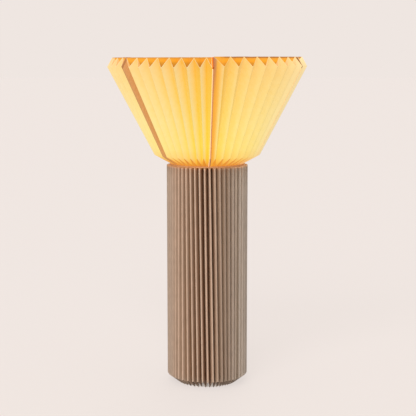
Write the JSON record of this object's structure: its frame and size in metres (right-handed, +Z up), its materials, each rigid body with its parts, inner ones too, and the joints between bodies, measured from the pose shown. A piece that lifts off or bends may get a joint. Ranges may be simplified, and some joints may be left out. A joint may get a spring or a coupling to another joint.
{
  "type": "floor lamp",
  "caption": "Folding paper floor lamp: an open pleated cone shade and a pleated cylindrical column fan open round a steel-footed stem with a lift-out light.",
  "frame": {"origin": "centre of the foot pad's underside, on the floor, on the lamp's axis", "axes": "+Z up along the lamp's axis; -Y is the front, the side with the shade's seam; +X to the right seen from the front"},
  "size_m": [0.4777, 0.4777, 0.793],
  "materials": {
    "shade_paper": "matt pleated translucent paper",
    "kraft_paper": "matt pleated kraft paper",
    "kraft_board": "matt kraft board",
    "foot_steel": "satin powder coat, cream",
    "black_metal": "satin powder coat",
    "stem_tube": "satin anodised",
    "plug_metal": "turned",
    "screw_steel": "zinc plated",
    "keeper_steel": "brushed",
    "rubber_pale": "matt moulded",
    "case_white": "fine moulded texture",
    "button_grey": "moulded",
    "magnet_nickel": "nickel plated",
    "cell_wrap": "shrunk film",
    "holder_black": "moulded",
    "circuit_green": "solder mask",
    "led_board_white": "white solder mask",
    "led_phosphor": "cast phosphor",
    "dome_opal": "frosted opal",
    "pipe_clear": "clear moulded"
  },
  "bodies": {
    "root": {"foot_pad": "rubber_pale", "foot_plate": "foot_steel", "base_flange": "black_metal", "base_screws": "screw_steel", "stem_lower": "stem_tube", "stem_plug": "plug_metal", "stem_upper": "stem_tube", "neck_flange": "black_metal", "neck_plate": "kraft_board", "neck_screws": "screw_steel", "keeper_ring": "keeper_steel", "column_cover_fixed": "kraft_paper", "column_magnets_fixed": "magnet_nickel", "column_pleats_0": "kraft_paper", "shade_cover_fixed": "kraft_board", "shade_magnets_fixed": "magnet_nickel", "shade_pleats_0": "shade_paper"},
    "light": {"light_case": "case_white", "light_magnets": "magnet_nickel", "battery_holder": "holder_black", "battery_cells": "cell_wrap", "control_board": "circuit_green", "charge_socket": "screw_steel", "light_lid": "case_white", "light_screws": "screw_steel", "led_board": "led_board_white", "led_chips": "led_phosphor", "light_dome": "dome_opal", "light_pipe": "pipe_clear", "button_spring": "screw_steel"},
    "button": {"power_button": "button_grey"},
    "shade_fan_1": {"shade_pleats_1": "shade_paper"},
    "shade_fan_2": {"shade_pleats_2": "shade_paper", "shade_board_1": "kraft_board"},
    "shade_fan_3": {"shade_pleats_3": "shade_paper"},
    "shade_fan_4": {"shade_pleats_4": "shade_paper", "shade_board_2": "kraft_board"},
    "shade_fan_5": {"shade_pleats_5": "shade_paper"},
    "shade_fan_6": {"shade_pleats_6": "shade_paper", "shade_board_3": "kraft_board"},
    "shade_fan_7": {"shade_pleats_7": "shade_paper"},
    "shade_fan_8": {"shade_pleats_8": "shade_paper", "shade_board_4": "kraft_board"},
    "shade_fan_9": {"shade_pleats_9": "shade_paper"},
    "shade_fan_10": {"shade_pleats_10": "shade_paper", "shade_board_5": "kraft_board"},
    "shade_fan_11": {"shade_pleats_11": "shade_paper"},
    "shade_fan_12": {"shade_pleats_12": "shade_paper", "shade_cover_free": "kraft_board", "shade_magnets_free": "magnet_nickel"},
    "column_fan_1": {"column_pleats_1": "kraft_paper"},
    "column_fan_2": {"column_pleats_2": "kraft_paper"},
    "column_fan_3": {"column_pleats_3": "kraft_paper"},
    "column_fan_4": {"column_pleats_4": "kraft_paper"},
    "column_fan_5": {"column_pleats_5": "kraft_paper"},
    "column_fan_6": {"column_pleats_6": "kraft_paper"},
    "column_fan_7": {"column_pleats_7": "kraft_paper"},
    "column_fan_8": {"column_pleats_8": "kraft_paper", "column_cover_free": "kraft_paper", "column_magnets_free": "magnet_nickel"}
  },
  "joints": [
    {"name": "shade_fold", "type": "hinge", "parent": "root", "child": "shade_fan_12", "pos_m": [0, 0, 0.66], "axis": [0, 0, -1], "range_deg": [0, 340], "deforming": ["shade_pleats_0", "shade_pleats_1", "shade_pleats_2", "shade_pleats_3", "shade_pleats_4", "shade_pleats_5", "shade_pleats_6", "shade_pleats_7", "shade_pleats_8", "shade_pleats_9", "shade_pleats_10", "shade_pleats_11", "shade_pleats_12"]},
    {"name": "shade_fold_1", "type": "hinge", "parent": "root", "child": "shade_fan_1", "pos_m": [0, 0, 0.66], "axis": [0, 0, -1], "range_deg": [0, 33.2]},
    {"name": "shade_fold_2", "type": "hinge", "parent": "root", "child": "shade_fan_2", "pos_m": [0, 0, 0.66], "axis": [0, 0, -1], "range_deg": [0, 60.5]},
    {"name": "shade_fold_3", "type": "hinge", "parent": "root", "child": "shade_fan_3", "pos_m": [0, 0, 0.66], "axis": [0, 0, -1], "range_deg": [0, 91.75]},
    {"name": "shade_fold_4", "type": "hinge", "parent": "root", "child": "shade_fan_4", "pos_m": [0, 0, 0.66], "axis": [0, 0, -1], "range_deg": [0, 117.16]},
    {"name": "shade_fold_5", "type": "hinge", "parent": "root", "child": "shade_fan_5", "pos_m": [0, 0, 0.66], "axis": [0, 0, -1], "range_deg": [0, 147.95]},
    {"name": "shade_fold_6", "type": "hinge", "parent": "root", "child": "shade_fan_6", "pos_m": [0, 0, 0.66], "axis": [0, 0, -1], "range_deg": [0, 172.88]},
    {"name": "shade_fold_7", "type": "hinge", "parent": "root", "child": "shade_fan_7", "pos_m": [0, 0, 0.66], "axis": [0, 0, -1], "range_deg": [0, 204.15]},
    {"name": "shade_fold_8", "type": "hinge", "parent": "root", "child": "shade_fan_8", "pos_m": [0, 0, 0.66], "axis": [0, 0, -1], "range_deg": [0, 229.55]},
    {"name": "shade_fold_9", "type": "hinge", "parent": "root", "child": "shade_fan_9", "pos_m": [0, 0, 0.66], "axis": [0, 0, -1], "range_deg": [0, 260.57]},
    {"name": "shade_fold_10", "type": "hinge", "parent": "root", "child": "shade_fan_10", "pos_m": [0, 0, 0.66], "axis": [0, 0, -1], "range_deg": [0, 285.75]},
    {"name": "shade_fold_11", "type": "hinge", "parent": "root", "child": "shade_fan_11", "pos_m": [0, 0, 0.66], "axis": [0, 0, -1], "range_deg": [0, 315.82]},
    {"name": "column_fold", "type": "hinge", "parent": "root", "child": "column_fan_8", "pos_m": [0, 0, 0.27], "axis": [0, 0, -1], "range_deg": [0, 340], "deforming": ["column_pleats_0", "column_pleats_1", "column_pleats_2", "column_pleats_3", "column_pleats_4", "column_pleats_5", "column_pleats_6", "column_pleats_7", "column_pleats_8"]},
    {"name": "column_fold_1", "type": "hinge", "parent": "root", "child": "column_fan_1", "pos_m": [0, 0, 0.27], "axis": [0, 0, -1], "range_deg": [0, 47.63]},
    {"name": "column_fold_2", "type": "hinge", "parent": "root", "child": "column_fan_2", "pos_m": [0, 0, 0.27], "axis": [0, 0, -1], "range_deg": [0, 91.54]},
    {"name": "column_fold_3", "type": "hinge", "parent": "root", "child": "column_fan_3", "pos_m": [0, 0, 0.27], "axis": [0, 0, -1], "range_deg": [0, 135.46]},
    {"name": "column_fold_4", "type": "hinge", "parent": "root", "child": "column_fan_4", "pos_m": [0, 0, 0.27], "axis": [0, 0, -1], "range_deg": [0, 179.38]},
    {"name": "column_fold_5", "type": "hinge", "parent": "root", "child": "column_fan_5", "pos_m": [0, 0, 0.27], "axis": [0, 0, -1], "range_deg": [0, 222.58]},
    {"name": "column_fold_6", "type": "hinge", "parent": "root", "child": "column_fan_6", "pos_m": [0, 0, 0.27], "axis": [0, 0, -1], "range_deg": [0, 262.96]},
    {"name": "column_fold_7", "type": "hinge", "parent": "root", "child": "column_fan_7", "pos_m": [0, 0, 0.27], "axis": [0, 0, -1], "range_deg": [0, 302.51]},
    {"name": "light_lift", "type": "slide", "parent": "root", "child": "light", "axis": [0, 0, 1], "range_m": [0, 0.3]},
    {"name": "button_press", "type": "slide", "parent": "light", "child": "button", "axis": [0, 0, -1], "range_m": [0, 0.0015], "stiffness_N_per_m": 300, "springref_m": -0.002, "deforming": ["button_spring"]}
  ],
  "couplings": [
    {"joint": "shade_fold_1", "follows": "shade_fold", "ratio": 0.0975},
    {"joint": "shade_fold_2", "follows": "shade_fold", "ratio": 0.17778},
    {"joint": "shade_fold_3", "follows": "shade_fold", "ratio": 0.26972},
    {"joint": "shade_fold_4", "follows": "shade_fold", "ratio": 0.34444},
    {"joint": "shade_fold_5", "follows": "shade_fold", "ratio": 0.435},
    {"joint": "shade_fold_6", "follows": "shade_fold", "ratio": 0.50833},
    {"joint": "shade_fold_7", "follows": "shade_fold", "ratio": 0.60028},
    {"joint": "shade_fold_8", "follows": "shade_fold", "ratio": 0.675},
    {"joint": "shade_fold_9", "follows": "shade_fold", "ratio": 0.76625},
    {"joint": "shade_fold_10", "follows": "shade_fold", "ratio": 0.84028},
    {"joint": "shade_fold_11", "follows": "shade_fold", "ratio": 0.92875},
    {"joint": "column_fold_1", "follows": "column_fold", "ratio": 0.13993},
    {"joint": "column_fold_2", "follows": "column_fold", "ratio": 0.2691},
    {"joint": "column_fold_3", "follows": "column_fold", "ratio": 0.39826},
    {"joint": "column_fold_4", "follows": "column_fold", "ratio": 0.52743},
    {"joint": "column_fold_5", "follows": "column_fold", "ratio": 0.65451},
    {"joint": "column_fold_6", "follows": "column_fold", "ratio": 0.77326},
    {"joint": "column_fold_7", "follows": "column_fold", "ratio": 0.88958}
  ]
}
